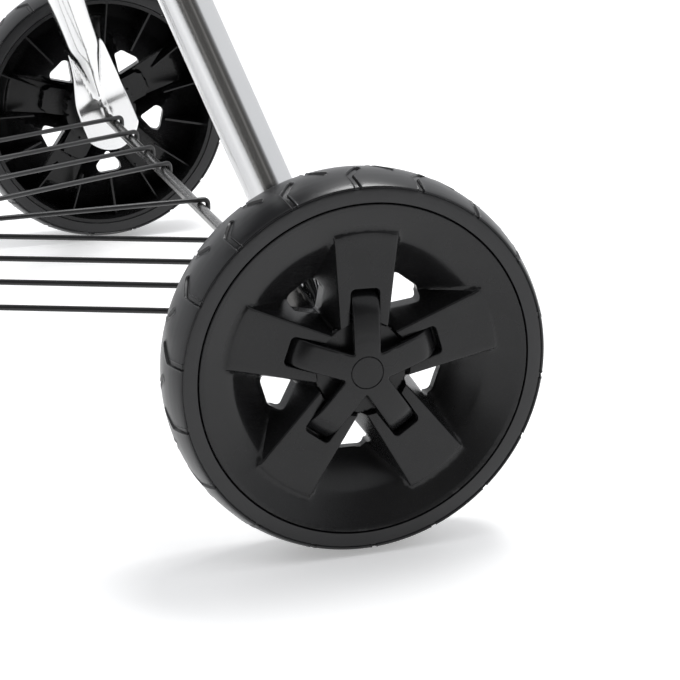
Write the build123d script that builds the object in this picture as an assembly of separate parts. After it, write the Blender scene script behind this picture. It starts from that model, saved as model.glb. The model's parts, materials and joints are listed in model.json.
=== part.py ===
"""Kettle barbecue on a three-leg wheeled stand, one STEP file for each separate piece.

Millimetres, +Z up. The origin is on the floor under the kettle's axis, midway between the
back of the wheels (+X) and the front foot (-X). The axle runs along Y.
"""

from build123d import *
import os
from math import atan2, cos, hypot, radians, sin, sqrt, tan

# ---- wheels and axle
WHEEL_RADIUS = 97.0
TRACK = 617.0  # between the wheels' middle planes
AXLE_X = 292.0
AXLE_Z = WHEEL_RADIUS
AXLE_RADIUS = 3.6
RUNNING_GAP = 0.06  # radial clearance of the bushes on the axle
TYRE_HALF_WIDTH = 19.6
TREAD_HALF_WIDTH = 13.4
BEAD_RADIUS = 84.1  # where the tyre meets the rim
TYRE_LIP_RADIUS = 92.3
SPOKES = 5
SPOKE_END_RADIUS = 69.0
SPOKE_FACE = 15.0  # height of a spoke's face outboard of the wheel's middle plane
SPOKE_HALF_OUTER = 16.3
SPOKE_HALF_INNER = 12.4
NOTCH_END_RADIUS = 40.7
NOTCH_HALF = 7.4
NOTCH_FLOOR = 7.5
RIM_LIP_FACE = 19.4
BARREL_END = -18.5
DISH_RADIUS = 82.0  # the dish runs from here in to its foot
DISH_FOOT_RADIUS = 64.0
DISH_FOOT_FACE = 11.5
WEB_RADIUS = 52.8
WEB_OUTER_FACE = -4.5
WEB_INNER_FACE = -12.0
WEB_HOLE_NEAR = 30.2
WEB_HOLE_FAR = 47.4
WEB_HOLE_HALF = 13.2  # half width at its outer end, before the corners are rounded
WEB_HOLE_CORNER = 4.0
WEB_HOLE_POINT = 1.2
RIM_RIB_FACE = -9.5
RIM_RIB_WIDTH = 1.8
HUB_INNER_END = -26.0
HUB_DRUM_RADIUS = 24.0
HUB_DRUM_FACE = 11.5
HUB_RECESS_RADIUS = 16.0
BUSH_END = 9.0
BUSH_RADIUS = 6.0
RIM_WALL = 2.8
SPOKE_ANGLE_LEFT = 88.1  # where each wheel has stopped, one spoke's angle above +X
SPOKE_ANGLE_RIGHT = 95.9

# ---- legs
TUBE_RADIUS = 12.7
TUBE_WALL = 1.2
LEG_Y = 277.4  # rear leg's centre line at axle height
LEG_SETBACK = 1.6
REAR_LEAN = 0.491  # run per rise
FRONT_FOOT_X = -372.3
FRONT_LEAN = 0.336
LEG_TOP_Z = 505.0
PADDLE_Y = 271.0
PADDLE_HALF_WIDTH = 20.0
PADDLE_THICKNESS = 3.0
PADDLE_END_RADIUS = 22.5
SOCKET_LENGTH = 55.0
SOCKET_WALL = 1.5
LOCK_PIN_RADIUS = 3.0

# ---- wire rack
WIRE_RADIUS = 1.6
RACK_PITCH = 49.4
RACK_HALF_ANGLE = 24.0
RACK_Z = AXLE_Z + AXLE_RADIUS + WIRE_RADIUS
HOOK_REACH = AXLE_RADIUS + WIRE_RADIUS + 0.1  # past the axle's centre line
HOOK_DROP = 6.6
RACK_BEND = 14.0  # at the V's point
HOOK_BEND = 3.0
CROSS_WIRE_X = 92.0
STRAP_WIDTH = 14.0
STRAP_THICKNESS = 3.0
WELD = 0.25  # how far welded wires sink into each other

# ---- kettle
RIM_Z = 684.0
BOWL_RADIUS = 283.0
BOWL_DEPTH = 235.0
BOWL_KNUCKLE = 190.0
SHEET = 1.1
BEAD_TUBE = 3.0
LID_RADIUS = 289.7
LID_HEIGHT = 205.0
LID_KNUCKLE = 172.0
LID_SKIRT_LOW = RIM_Z - 8.0
LID_SKIRT_TOP = RIM_Z + 14.0
MOVING_GAP = 0.5


def save(name, shape):
    export_step(shape, f"parts/{name}.step")


def rod(start, end, radius):
    start, end = Vector(start), Vector(end)
    run = end - start
    return Plane(origin=start, z_dir=run) * Cylinder(
        radius, run.length, align=(Align.CENTER, Align.CENTER, Align.MIN)
    )


def tube(start, end, outer, inner):
    return rod(start, end, outer) - rod(start, end, inner)


def disc(radius, low, high):
    """Upright cylinder on the Z axis between two heights."""
    return Pos(0, 0, low) * Cylinder(radius, high - low, align=(Align.CENTER, Align.CENTER, Align.MIN))


def ring(outer, inner, low, high):
    return disc(outer, low, high) - disc(inner, low, high)


def turned(points):
    """Solid of revolution about Z from (radius, height) points."""
    return revolve(Plane.XZ * make_face(Polyline(*points, close=True)), Axis.Z)


def wire(points, radii, radius=WIRE_RADIUS):
    """Round wire bent along a route, with one bend radius for each inner point."""
    path = FilletPolyline(*points, radius=radii) if len(points) > 2 else Line(*points)
    return sweep(Plane(origin=path @ 0, z_dir=path % 0) * Circle(radius), path=path)


# ------------------------------------------------------------------ wheels
# A wheel is drawn about its own Z axis, which points outboard, with its middle plane at Z = 0.


def wheel_plane(side):
    """side is -1 for the wheel at -Y and +1 for the wheel at +Y."""
    return Plane(origin=(AXLE_X, side * TRACK / 2, AXLE_Z), x_dir=(-side, 0, 0), z_dir=(0, side, 0))


def spoke_angles(side):
    first = SPOKE_ANGLE_LEFT if side < 0 else 180 - SPOKE_ANGLE_RIGHT
    return [first + i * 360 / SPOKES for i in range(SPOKES)]


def spoke_outline(inset):
    outer, inner = SPOKE_HALF_OUTER - inset, SPOKE_HALF_INNER - inset
    start = HUB_DRUM_RADIUS - 4 + 2 * inset
    end = SPOKE_END_RADIUS - inset
    wedge = make_face(Polyline((start, -inner), (end + 6, -outer), (end + 6, outer), (start, inner), close=True))
    return wedge & Circle(end)


def web_hole():
    """Rounded triangle with its point towards the hub."""
    near, far, half = WEB_HOLE_NEAR, WEB_HOLE_FAR, WEB_HOLE_HALF
    corners = make_face(Polyline((near, 0), (far, -half), (far, half), close=True))
    rounded = fillet(corners.vertices().filter_by_position(Axis.X, far - 1, far + 1), WEB_HOLE_CORNER)
    return fillet(rounded.vertices().filter_by_position(Axis.X, near - 1, near + 1), WEB_HOLE_POINT)


def rim_shell():
    """Dish, web, hub and barrel, before the spokes and holes."""
    inside = BEAD_RADIUS - RIM_WALL
    return turned(
        [
            (BEAD_RADIUS, BARREL_END),
            (BEAD_RADIUS, RIM_LIP_FACE),
            (DISH_RADIUS, RIM_LIP_FACE - 0.4),
            (DISH_FOOT_RADIUS, DISH_FOOT_FACE),
            (WEB_RADIUS, WEB_OUTER_FACE),
            (HUB_DRUM_RADIUS, WEB_OUTER_FACE),
            (HUB_DRUM_RADIUS, HUB_DRUM_FACE),
            (HUB_RECESS_RADIUS, HUB_DRUM_FACE),
            (HUB_RECESS_RADIUS, BUSH_END),
            (BUSH_RADIUS, BUSH_END),
            (BUSH_RADIUS, HUB_INNER_END),
            (BUSH_RADIUS + 6, HUB_INNER_END),
            (BUSH_RADIUS + 7.5, WEB_INNER_FACE),
            (WEB_RADIUS + 2.5, WEB_INNER_FACE),
            (DISH_FOOT_RADIUS + 2.5, DISH_FOOT_FACE - 1.2 * RIM_WALL),
            (inside, RIM_LIP_FACE - 1.7 * RIM_WALL),
            (inside, BARREL_END),
        ]
    )


def rim_rib():
    """Rib on the inboard side; its outboard edge is buried in the wall of the dish."""
    outline = Polyline(
        (WEB_RADIUS + 1.7, RIM_RIB_FACE),
        (WEB_RADIUS + 1.7, RIM_RIB_FACE + 1.5),
        (DISH_FOOT_RADIUS + 1.2, DISH_FOOT_FACE - 1.5),
        (BEAD_RADIUS - 1, RIM_LIP_FACE - 3),
        (BEAD_RADIUS - 1, RIM_RIB_FACE),
        close=True,
    )
    return extrude(Plane.XZ * make_face(outline), amount=RIM_RIB_WIDTH / 2, both=True)


def rim(angles):
    shell = rim_shell()
    spoke_height = SPOKE_FACE - WEB_OUTER_FACE + 1
    for angle in angles:
        spoke = extrude(Pos(0, 0, SPOKE_FACE) * spoke_outline(0), amount=-spoke_height, taper=-9)
        shell += Rot(0, 0, angle) * spoke
    notch_length = NOTCH_END_RADIUS - HUB_DRUM_RADIUS + 3
    for angle in angles:
        hollow = extrude(Pos(0, 0, NOTCH_FLOOR - RIM_WALL) * spoke_outline(3.2), amount=-24)
        shell -= Rot(0, 0, angle) * hollow
        notch = Pos(NOTCH_END_RADIUS - notch_length / 2, 0, NOTCH_FLOOR) * extrude(
            RectangleRounded(notch_length, 2 * NOTCH_HALF, 2.4), amount=20
        )
        shell -= Rot(0, 0, angle) * notch
        hole = extrude(Pos(0, 0, WEB_INNER_FACE - 2) * web_hole(), amount=16)
        shell -= Rot(0, 0, angle + 180 / SPOKES) * hole
    ribs = 3 * SPOKES
    for i in range(ribs):
        shell += Rot(0, 0, angles[0] + 180 / SPOKES + i * 360 / ribs) * rim_rib()
    return shell


def tyre():
    half, lip = TYRE_HALF_WIDTH, TYRE_LIP_RADIUS
    shoulder = ((lip, half), (lip + 3.4, half - 2.2), (WHEEL_RADIUS, TREAD_HALF_WIDTH))
    side = Line((BEAD_RADIUS, half), shoulder[0])
    upper = ThreePointArc(*shoulder)
    tread = Line((WHEEL_RADIUS, TREAD_HALF_WIDTH), (WHEEL_RADIUS, -TREAD_HALF_WIDTH))
    lower = ThreePointArc(*[(r, -k) for r, k in reversed(shoulder)])
    back = Polyline((lip, -half), (BEAD_RADIUS, -half), (BEAD_RADIUS, half))
    return revolve(Plane.XZ * make_face(side + upper + tread + lower + back), Axis.Z)


def hub_cap(angles):
    """Star cap: its arms run from the centre disc down into the spokes' notches."""
    star = Sketch() + Circle(12)
    length = NOTCH_END_RADIUS - 0.8
    for angle in angles:
        star += Rot(0, 0, angle) * Pos(length / 2, 0) * RectangleRounded(length, 13.6, 2.0)
    crown = turned(
        [(0, 21), (12, 20.6), (25, 18.9), (33, 17.0), (38, 15.2), (41, 13.4), (41, 9.6), (36, 12.2), (25, 15.4),
         (12, 17.2), (0, 17.6)]
    )
    cap = extrude(star, amount=24) & crown
    for angle in angles:
        cap += Rot(0, 0, angle) * Pos(30, 0, (NOTCH_FLOOR + 15) / 2) * Box(2.4, 9, 15 - NOTCH_FLOOR)
    return cap


def hub_bush():
    hole = AXLE_RADIUS + RUNNING_GAP
    sleeve = ring(BUSH_RADIUS, hole, HUB_INNER_END, BUSH_END)
    return sleeve + ring(BUSH_RADIUS + 3, hole, HUB_INNER_END - 1.6, HUB_INNER_END)


def make_wheels():
    for side, name in ((-1, "left"), (1, "right")):
        plane = wheel_plane(side)
        angles = spoke_angles(side)
        save(f"wheel_rim_{name}", plane * rim(angles))
        save(f"tyre_{name}", plane * tyre())
        save(f"hub_cap_{name}", plane * hub_cap(angles))
        save(f"hub_bush_{name}", plane * hub_bush())
        save(f"axle_push_nut_{name}", plane * (ring(7.2, AXLE_RADIUS, 9.4, 10.4) + ring(5.4, AXLE_RADIUS, 10.4, 12)))
        spacer_start = PADDLE_Y + PADDLE_THICKNESS / 2
        spacer_end = TRACK / 2 + HUB_INNER_END - 1.6 - MOVING_GAP
        ends = [(AXLE_X, side * y, AXLE_Z) for y in (spacer_start, spacer_end)]
        save(f"axle_spacer_{name}", tube(*ends, 7.5, AXLE_RADIUS))
    reach = TRACK / 2 + 13.0
    axle = rod((AXLE_X, -reach, AXLE_Z), (AXLE_X, reach, AXLE_Z), AXLE_RADIUS)
    save("axle", axle)


# ------------------------------------------------------------------ legs


def leg_line(leg):
    """Point at a given height on a leg's centre line: leg is -1, +1 (rear) or 0 (front)."""
    if leg == 0:
        return lambda z: Vector(FRONT_FOOT_X + FRONT_LEAN * z, 0, z)
    x, y = AXLE_X + LEG_SETBACK, leg * LEG_Y
    span = hypot(x, y)
    return lambda z: Vector(
        x - REAR_LEAN * (z - AXLE_Z) * x / span, y - REAR_LEAN * (z - AXLE_Z) * y / span, z
    )


def lock_pin(leg):
    line = leg_line(leg)
    centre = line(LEG_TOP_Z - 28)
    outward = Vector(centre.X, centre.Y, 0).normalized()
    return rod(centre + outward * 9.5, centre + outward * 17.5, LOCK_PIN_RADIUS)


def rear_leg(side):
    """Round tube pressed flat at its lower end, where the axle passes through it."""
    line = leg_line(side)
    lean = line(1) - line(0)
    paddle_up = Vector(lean.X, 0, lean.Z).normalized()
    paddle_across = Vector(paddle_up.Z, 0, -paddle_up.X)
    hole = Vector(AXLE_X, side * PADDLE_Y, AXLE_Z)
    press_top = AXLE_Z + 78
    round_ends = [Plane(origin=line(z), x_dir=paddle_across, z_dir=lean) for z in (press_top, press_top - 16)]
    sections = [plane * Circle(TUBE_RADIUS) for plane in round_ends]
    for rise, wide, thick in ((45, 15.2, 10.4), (31, 18.0, 5.8)):
        centre = line(AXLE_Z + rise)
        sections.append(Plane(origin=centre, x_dir=paddle_across, z_dir=lean) * Ellipse(wide, thick))
    foot = hole + paddle_up * 15
    sections.append(
        Plane(origin=foot, x_dir=paddle_across, z_dir=paddle_up) * Ellipse(PADDLE_HALF_WIDTH, PADDLE_THICKNESS / 2)
    )
    pressed = loft(sections)
    upper = rod(line(press_top), line(LEG_TOP_Z), TUBE_RADIUS)
    bore = rod(line(press_top + 2), line(LEG_TOP_Z + 2), TUBE_RADIUS - TUBE_WALL)
    face = Plane(origin=hole, x_dir=paddle_across, z_dir=(0, -1, 0))
    end = Circle(PADDLE_END_RADIUS) & Rectangle(2 * PADDLE_HALF_WIDTH, 60)
    outline = end + Pos(0, 10) * Rectangle(2 * PADDLE_HALF_WIDTH - 2, 20)
    plate = extrude(face * outline, amount=PADDLE_THICKNESS / 2, both=True)
    axle_hole = rod(hole - Vector(0, 20, 0), hole + Vector(0, 20, 0), AXLE_RADIUS)
    return upper + pressed + plate - bore - axle_hole - lock_pin(side)


def make_legs():
    for side, name in ((-1, "left"), (1, "right")):
        save(f"rear_leg_{name}", rear_leg(side))
    line = leg_line(0)
    lean = Vector(FRONT_LEAN, 0, 1).normalized()
    bottom = line(8)
    front = tube(bottom, line(LEG_TOP_Z), TUBE_RADIUS, TUBE_RADIUS - TUBE_WALL) - lock_pin(0)
    save("front_leg", front)
    boot = rod(line(-12), bottom + lean * 42, TUBE_RADIUS + 3.3) - rod(bottom, bottom + lean * 80, TUBE_RADIUS)
    save("front_foot_cap", boot & Pos(FRONT_FOOT_X, 0, 60) * Box(120, 120, 120))
    pins = [lock_pin(leg) for leg in (-1, 0, 1)]
    save("leg_lock_pins", Compound(pins))
    kettle = bowl_solid(0)
    for leg, name in ((-1, "left"), (0, "front"), (1, "right")):
        line = leg_line(leg)
        low = LEG_TOP_Z - SOCKET_LENGTH
        inner = TUBE_RADIUS + 0.02
        socket = tube(line(low), line(LEG_TOP_Z + 60), inner + SOCKET_WALL, inner) - kettle - lock_pin(leg)
        save(f"leg_socket_{name}", socket.solids().sort_by(Axis.Z)[0])


# ------------------------------------------------------------------ wire rack


def rack_wire(y):
    """One nested V: from a hook behind the axle to a point on the middle line and back."""
    slope = radians(RACK_HALF_ANGLE)
    apex_x = AXLE_X - y / tan(slope)
    hook = Vector(AXLE_X + HOOK_REACH, y + HOOK_REACH * tan(slope), RACK_Z)
    low = hook - Vector(0, 0, HOOK_DROP)
    route = [low, hook, Vector(apex_x, 0, RACK_Z), Vector(hook.X, -hook.Y, RACK_Z), Vector(low.X, -low.Y, low.Z)]
    return wire(route, [HOOK_BEND, RACK_BEND, HOOK_BEND])


def wire_rack():
    ends = [RACK_PITCH * i for i in (2, 3, 4, 5)]
    tan_half = tan(radians(RACK_HALF_ANGLE))
    apexes = [AXLE_X - y / tan_half for y in ends]
    first_apex = apexes[0] + RACK_BEND / sin(radians(RACK_HALF_ANGLE)) - RACK_BEND
    hook = Vector(AXLE_X + HOOK_REACH, 0, RACK_Z)
    rack = wire([Vector(first_apex, 0, RACK_Z), hook, hook - Vector(0, 0, HOOK_DROP)], [HOOK_BEND])
    for y in ends:
        rack += rack_wire(y)
    cross_half = ends[-1] - (AXLE_X - CROSS_WIRE_X) * tan_half + 4
    cross_z = RACK_Z - 2 * WIRE_RADIUS + WELD
    rack += rod((CROSS_WIRE_X, -cross_half, cross_z), (CROSS_WIRE_X, cross_half, cross_z), WIRE_RADIUS)
    leg_x = leg_line(0)(STRAP_Z).X
    start, end = leg_x + TUBE_RADIUS + 3.2, apexes[1] + 30
    return rack + Pos((start + end) / 2, 0, STRAP_Z) * Box(end - start, STRAP_WIDTH, STRAP_THICKNESS)


BAND_WALL = 1.8
STRAP_Z = RACK_Z - WIRE_RADIUS + WELD - STRAP_THICKNESS / 2


def band_clip(leg, z, height):
    """Spring band round a leg tube."""
    line = leg_line(leg)
    lean = (line(1) - line(0)).normalized()
    centre = line(z)
    return tube(centre - lean * height / 2, centre + lean * height / 2, TUBE_RADIUS + BAND_WALL, TUBE_RADIUS)


def make_rack():
    save("wire_rack", wire_rack())
    leg_x = leg_line(0)(STRAP_Z).X
    clip = band_clip(0, STRAP_Z, 22)
    ear = Pos(leg_x + TUBE_RADIUS + 11, 0, STRAP_Z - 2.6) * Box(20, STRAP_WIDTH, 2.2)
    save("rack_clip", clip + (ear - rod(leg_line(0)(60), leg_line(0)(140), TUBE_RADIUS)))


# ------------------------------------------------------------------ kettle


def crown_radius(rim_radius, depth, knuckle):
    flat = rim_radius - knuckle
    return (flat**2 + depth**2 - knuckle**2) / (2 * (depth - knuckle))


def dome_curve(rim_radius, depth, knuckle, inset, sign):
    """Two tangent arcs from the rim to the pole; sign is -1 for a bowl and +1 for a lid."""
    crown = crown_radius(rim_radius, depth, knuckle)
    flat, rise = rim_radius - knuckle, crown - depth
    tilt = atan2(rise, flat)

    def on_knuckle(angle):
        return (flat + (knuckle - inset) * cos(angle), sign * (knuckle - inset) * sin(angle))

    def on_crown(angle):
        return ((crown - inset) * cos(angle), sign * ((crown - inset) * sin(angle) - rise))

    quarter = radians(90)
    lower = ThreePointArc(on_knuckle(0), on_knuckle(tilt / 2), on_knuckle(tilt))
    upper = ThreePointArc(on_crown(tilt), on_crown((tilt + quarter) / 2), on_crown(quarter))
    return lower, upper


def dome_solid(rim_radius, depth, knuckle, inset, sign, rim_z):
    lower, upper = dome_curve(rim_radius, depth, knuckle, inset, sign)
    edge = Polyline(upper @ 1, (0, 0), lower @ 0)
    return Pos(0, 0, rim_z) * revolve(Plane.XZ * make_face(lower + upper + edge), Axis.Z)


def bowl_solid(inset):
    return dome_solid(BOWL_RADIUS, BOWL_DEPTH, BOWL_KNUCKLE, inset, -1, RIM_Z)


def lid_solid(inset):
    return dome_solid(LID_RADIUS, LID_HEIGHT, LID_KNUCKLE, inset, 1, LID_SKIRT_TOP)


BOWL_CROWN = crown_radius(BOWL_RADIUS, BOWL_DEPTH, BOWL_KNUCKLE)
BOWL_CROWN_Z = RIM_Z - BOWL_DEPTH + BOWL_CROWN
LID_CROWN = crown_radius(LID_RADIUS, LID_HEIGHT, LID_KNUCKLE)
LID_CROWN_Z = LID_SKIRT_TOP + LID_HEIGHT - LID_CROWN
VENT_ANGLES = (40, 160, 280)
VENT_CENTRE = 66.0
VENT_RADIUS = 21.0
SHAFT_RADIUS = 5.0


def bowl():
    shell = bowl_solid(0) - bowl_solid(SHEET)
    shell += Pos(0, 0, RIM_Z) * Torus(BOWL_RADIUS + 1, BEAD_TUBE)
    for angle in VENT_ANGLES:
        shell -= Rot(0, 0, angle) * Pos(VENT_CENTRE, 0, 0) * disc(VENT_RADIUS, 400, 520)
    return shell - disc(SHAFT_RADIUS + RUNNING_GAP, 400, 520)


def side_handle(side):
    """Steel loop welded to the bowl, and the moulded grip threaded on it."""
    z = RIM_Z - 42
    reach, half = BOWL_RADIUS + 40, 62.0
    start = sqrt((BOWL_RADIUS - 5) ** 2 - half**2)
    loop = wire(
        [(-half, side * start, z), (-half, side * reach, z + 8), (half, side * reach, z + 8), (half, side * start, z)],
        [14.0, 14.0],
        4.0,
    )
    loop -= bowl_solid(0)
    length = 2 * (half - 18)
    grip = Pos(0, side * reach, z + 8) * Rot(0, 90, 0) * (
        fillet(Cylinder(10.5, length).edges(), 4) - Cylinder(4.0, length + 2)
    )
    return loop, grip


def grate_tab(angle):
    """Folded steel tab inside the bowl that carries the cooking grate."""
    ledge_z = GRATE_Z - 4 * GRATE_ROD + WELD + GRATE_ROD / 2 - 0.4
    tab = Pos(BOWL_RADIUS - SHEET - 9.8, 0, ledge_z) * Box(18, 24, 2)
    tab += Pos(BOWL_RADIUS - SHEET - 3.0, 0, ledge_z - 10) * Box(2, 24, 20)
    return Rot(0, 0, angle) * (tab & bowl_solid(SHEET))


def grate_rods(radius, z, rod_radius, pitch, low, high):
    """Parallel rods along X between two Y limits, trimmed to a circle."""
    count = int((radius - EDGE_ROOM) / pitch)
    rods = []
    for i in range(-count, count + 1):
        y = i * pitch
        if low < y < high:
            half = sqrt(radius**2 - y**2)
            rods.append(rod((-half, y, z), (half, y, z), rod_radius))
    return rods


GRATE_Z = RIM_Z - 20.0
GRATE_RADIUS = 264.0
GRATE_ROD = 2.5
GRATE_PITCH = 15.0
EDGE_ROOM = 18.0  # between the last rod and the rim
HINGE_Y = 135.0
FLAP_Y = 144.5
COAL_GRATE_Z = RIM_Z - 139.0
COAL_GRATE_RADIUS = 206.0


def grate_rim(radius, z, low, high):
    keep = Pos(0, (low + high) / 2, z) * Box(3 * radius, high - low, 40)
    return (Pos(0, 0, z) * Torus(radius, GRATE_ROD)) & keep


def chord(y, radius, z):
    half = sqrt(radius**2 - y**2)
    return rod((-half, y, z), (half, y, z), GRATE_ROD)


def cooking_grate():
    low, high = -HINGE_Y, HINGE_Y
    ring_z = GRATE_Z - 2 * GRATE_ROD + WELD
    grate = grate_rim(GRATE_RADIUS, ring_z, low, high)
    for x in (-120, 0, 120):
        grate += rod((x, low, ring_z), (x, high, ring_z), GRATE_ROD)
    for bar in grate_rods(GRATE_RADIUS, GRATE_Z, GRATE_ROD, GRATE_PITCH, low, high):
        grate += bar
    return grate + chord(low, GRATE_RADIUS, GRATE_Z) + chord(high, GRATE_RADIUS, GRATE_Z)


def grate_flap(side):
    """Half-moon of rods that swings up on two eyes round the main grate's outer rod."""
    low, high = sorted((side * FLAP_Y, side * 300))
    flap = grate_rim(GRATE_RADIUS, GRATE_Z, low, high) + chord(side * (FLAP_Y + 1), GRATE_RADIUS, GRATE_Z)
    for x in (-60, 60):
        near = (x, side * HINGE_Y, GRATE_Z)
        far = (x, side * sqrt(GRATE_RADIUS**2 - x**2), GRATE_Z)
        flap += rod(near, far, GRATE_ROD)
        flap += rod((x - 4, *near[1:]), (x + 4, *near[1:]), 2 * GRATE_ROD)
        flap -= rod((x - 5, *near[1:]), (x + 5, *near[1:]), GRATE_ROD + 0.3)
    for bar in grate_rods(GRATE_RADIUS, GRATE_Z, GRATE_ROD, GRATE_PITCH, low, high):
        flap += bar
    return flap


def charcoal_grate():
    ring_z = COAL_GRATE_Z - 2 * GRATE_ROD + WELD
    grate = Pos(0, 0, ring_z) * Torus(COAL_GRATE_RADIUS, GRATE_ROD)
    for x in (-90, 90):
        half = sqrt(COAL_GRATE_RADIUS**2 - x**2)
        grate += rod((x, -half, ring_z), (x, half, ring_z), GRATE_ROD)
    for bar in grate_rods(COAL_GRATE_RADIUS, COAL_GRATE_Z, GRATE_ROD, 24, -210, 210):
        grate += bar
    return grate


def make_kettle():
    save("bowl", bowl())
    for side, name in ((-1, "left"), (1, "right")):
        loop, grip = side_handle(side)
        save(f"side_handle_loop_{name}", loop)
        save(f"side_handle_grip_{name}", grip)
        save(f"cooking_grate_flap_{name}", grate_flap(side))
    save("grate_tabs", Compound([grate_tab(angle) for angle in (30, 150, 210, 330)]))
    save("cooking_grate", cooking_grate())
    save("charcoal_grate", charcoal_grate())


# ------------------------------------------------------------------ ash system

PAN_Z = 392.0
PAN_RADIUS = 140.0
LEVER_ANGLE = 112.0


def ash_blades():
    shell = Pos(0, 0, BOWL_CROWN_Z) * (
        Sphere(BOWL_CROWN - SHEET - MOVING_GAP) - Sphere(BOWL_CROWN - SHEET - MOVING_GAP - 1.6)
    )
    blades = disc(16, 440, 480)
    for angle in VENT_ANGLES:
        paddle = extrude(Pos(51, 0, 440) * RectangleRounded(94, 54, 12), amount=60)
        blades += Rot(0, 0, angle + 60) * paddle
    return (shell & blades) - disc(SHAFT_RADIUS, 400, 520)


def sweep_shaft():
    top = BOWL_CROWN_Z - (BOWL_CROWN - SHEET - MOVING_GAP - 1.6)
    return disc(SHAFT_RADIUS, RIM_Z - BOWL_DEPTH - 16, top + 2) + disc(SHAFT_RADIUS + 3, top + 0.6, top + 3)


def sweep_lever():
    z = RIM_Z - BOWL_DEPTH - 14
    arm = Pos(92, 0, z) * Box(196, 16, 2.5) + disc(11, z - 1.25, z + 8)
    arm += Pos(186, 0, z + 9) * Box(2.5, 16, 20)
    return Rot(0, 0, LEVER_ANGLE) * (arm - disc(SHAFT_RADIUS, 400, 520))


def ash_pan():
    floor_radius = PAN_RADIUS - 48
    outer = [(0, PAN_Z - 24), (floor_radius, PAN_Z - 24), (PAN_RADIUS, PAN_Z + 2), (PAN_RADIUS + 7, PAN_Z + 3.2)]
    inner = [(r, z + SHEET) for r, z in reversed(outer)]
    return turned(outer + inner)


def pan_ring():
    """Wire ring that the ash pan drops into, with a stay to each leg."""
    radius, z = PAN_RADIUS - 14, PAN_Z - 9.5
    hoop = Pos(0, 0, z) * Torus(radius, 2.2)
    for leg in (-1, 0, 1):
        line = leg_line(leg)
        outward = Vector(line(z).X, line(z).Y, 0).normalized()
        stay = rod(outward * (radius - 0.5) + Vector(0, 0, z), line(z), 2.2)
        hoop += stay - rod(line(z - 30), line(z + 30), TUBE_RADIUS + BAND_WALL)
    return hoop


def make_ash_system():
    save("ash_sweep_blades", ash_blades())
    save("ash_sweep_shaft", sweep_shaft())
    save("ash_sweep_lever", sweep_lever())
    grip = Rot(0, 0, LEVER_ANGLE) * Pos(187.5, 0, RIM_Z - BOWL_DEPTH + 6.5) * (
        fillet(Box(12, 26, 34).edges(), 4.5) - Pos(-1.5, 0, -12) * Box(2.5, 16, 30)
    )
    save("ash_sweep_lever_grip", grip)
    save("ash_pan", ash_pan())
    save("ash_pan_ring", pan_ring())
    save("ash_pan_clips", Compound([band_clip(leg, PAN_Z - 9.5, 16) for leg in (-1, 0, 1)]))


# ------------------------------------------------------------------ lid

DAMPER_TILT = 24.0
DAMPER_AZIMUTH = 180.0
DAMPER_RADIUS = 44.0
DAMPER_HOLE = 8.5
DAMPER_HOLE_CIRCLE = 25.0
HANDLE_RISE = 62.0
HANDLE_HALF = 58.0
SHIELD_RISE = 9.0


def damper_axis():
    """Frame at the crown's centre whose Z axis passes through the damper's pivot."""
    return Pos(0, 0, LID_CROWN_Z) * Rot(0, 0, DAMPER_AZIMUTH) * Rot(0, DAMPER_TILT, 0)


def damper_holes():
    holes = [
        Rot(0, 0, 90 * i) * Pos(DAMPER_HOLE_CIRCLE, 0, 0) * disc(DAMPER_HOLE, LID_CROWN - 30, LID_CROWN + 30)
        for i in range(4)
    ]
    return holes


def lid():
    shell = lid_solid(0) - lid_solid(SHEET)
    shell += ring(LID_RADIUS, LID_RADIUS - SHEET, LID_SKIRT_LOW, LID_SKIRT_TOP)
    shell += ring(LID_RADIUS - 0.5, BOWL_RADIUS - 2, RIM_Z + BEAD_TUBE + MOVING_GAP, RIM_Z + BEAD_TUBE + 2)
    for hole in damper_holes():
        shell -= damper_axis() * hole
    shell -= damper_axis() * disc(3.0, LID_CROWN - 30, LID_CROWN + 30)
    return shell


def lid_damper():
    low = LID_CROWN + MOVING_GAP
    plate = (Sphere(low + 1.6) - Sphere(low)) & disc(DAMPER_RADIUS, LID_CROWN - 30, LID_CROWN + 30)
    for hole in damper_holes():
        plate -= hole
    tab_z = sqrt(low**2 - 34**2)
    plate += Pos(34, 0, tab_z + 9.5) * Box(2.2, 22, 18)
    plate -= disc(3.0 + RUNNING_GAP, LID_CROWN - 30, LID_CROWN + 30)
    return damper_axis() * plate


def damper_rivet():
    stem = disc(3.0, LID_CROWN - SHEET, LID_CROWN + 4)
    heads = disc(6, LID_CROWN + 2.7, LID_CROWN + 4.6)
    return damper_axis() * (stem + heads)


def make_lid():
    save("lid", lid())
    save("lid_damper", lid_damper())
    save("lid_damper_rivet", damper_rivet())
    top = LID_SKIRT_TOP + LID_HEIGHT
    post_x = HANDLE_HALF - 12
    foot_z = LID_CROWN_Z + sqrt(LID_CROWN**2 - post_x**2)
    outer = lid_solid(0)
    stays = []
    for end in (-1, 1):
        post = Pos(0, end * post_x, (foot_z + top + HANDLE_RISE) / 2 - 4) * Box(18, 3, HANDLE_RISE + 12)
        stays.append(post - outer)
    shield = Pos(0, 0, LID_CROWN_Z + SHIELD_RISE) * (Sphere(LID_CROWN + 1.5) - Sphere(LID_CROWN))
    shield = shield & Pos(0, 0, top) * Box(70, 2 * post_x + 1, 80)
    save("lid_handle_bracket", Part() + stays[0] + stays[1] + shield)
    grip = Pos(0, 0, top + HANDLE_RISE) * Rot(90, 0, 0) * fillet(Cylinder(13, 2 * HANDLE_HALF + 24).edges(), 7)
    for stay in stays:
        grip -= stay
    save("lid_handle_grip", grip)
    bolts = [
        rod((-7, end * (post_x + 1.5), top + 24), (-7, end * (post_x + 4), top + 24), 3.4) for end in (-1, 1)
    ]
    save("lid_handle_screws", Compound(bolts))


def main():
    os.makedirs("parts", exist_ok=True)
    make_wheels()
    make_legs()
    make_rack()
    make_kettle()
    make_ash_system()
    make_lid()


main()
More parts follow.
